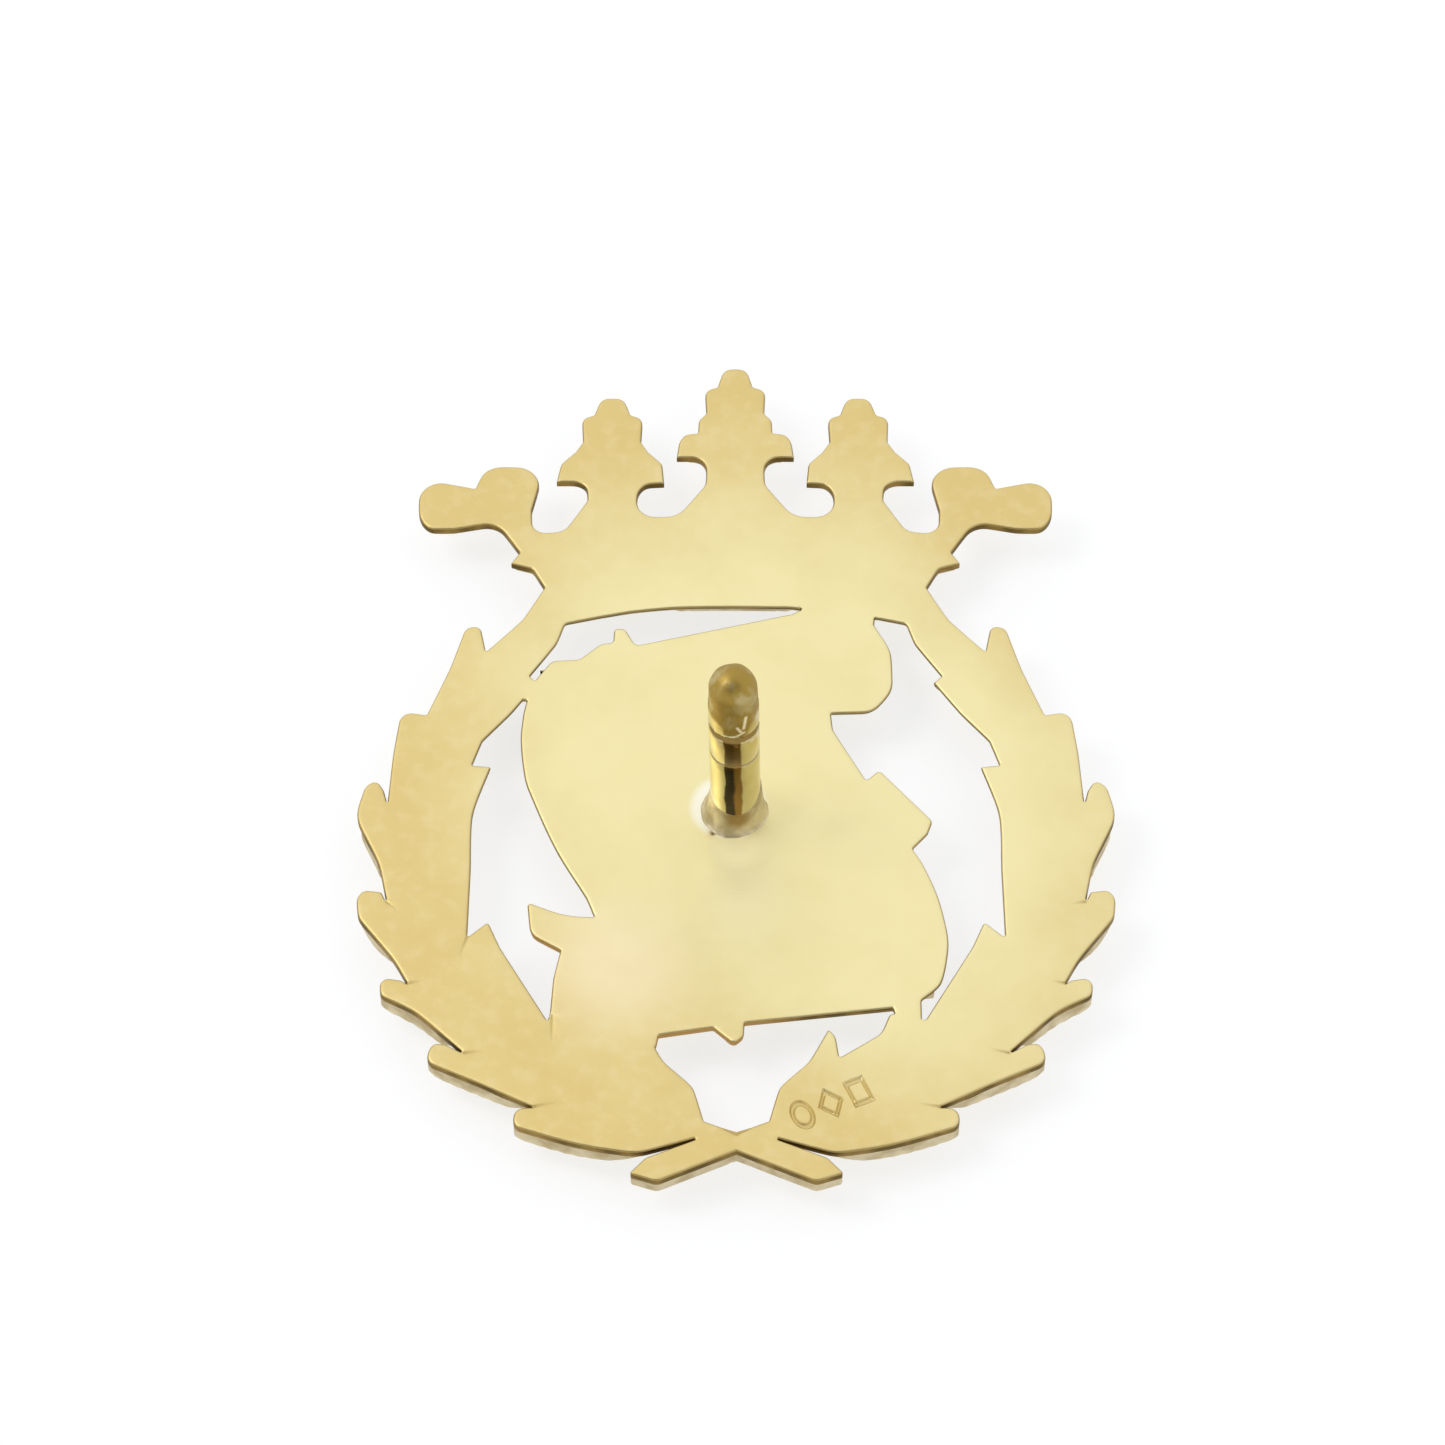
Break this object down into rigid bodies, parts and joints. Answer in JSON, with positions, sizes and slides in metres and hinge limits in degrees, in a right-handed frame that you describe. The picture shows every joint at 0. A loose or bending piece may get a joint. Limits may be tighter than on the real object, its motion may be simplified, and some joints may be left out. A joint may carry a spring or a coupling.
{
  "type": "cap badge",
  "caption": "Small gilt badge lying face down: a pierced crown over a laurel wreath with a scroll in it, and a grooved post soldered to its back.",
  "frame": {"origin": "centre of the post's foot, on the back face of the badge", "axes": "+Z out of the back along the post, +Y to the top of the crown, +X to the right as seen from behind"},
  "size_m": [0.0166, 0.0216, 0.0064],
  "materials": {
    "gilt_sheet": "polished",
    "gilt_relief": "satin",
    "gilt_post": "polished",
    "solder": "dull"
  },
  "bodies": {
    "root": {"back_plate": "gilt_sheet", "mounting_post": "gilt_post", "post_solder_collar": "solder", "circlet_band": "gilt_relief", "circlet_lower_rim": "gilt_relief", "circlet_upper_rim": "gilt_relief", "circlet_stones": "gilt_relief", "centre_floret": "gilt_relief", "left_floret": "gilt_relief", "right_floret": "gilt_relief", "left_end_floret": "gilt_relief", "right_end_floret": "gilt_relief", "left_stem": "gilt_relief", "right_stem": "gilt_relief", "left_outer_leaves": "gilt_relief", "right_outer_leaves": "gilt_relief", "left_inner_leaves": "gilt_relief", "right_inner_leaves": "gilt_relief", "parchment": "gilt_relief", "upper_roll": "gilt_relief", "lower_roll": "gilt_relief", "quill": "gilt_relief", "ribbon": "gilt_relief", "seal": "gilt_relief"}
  },
  "joints": []
}
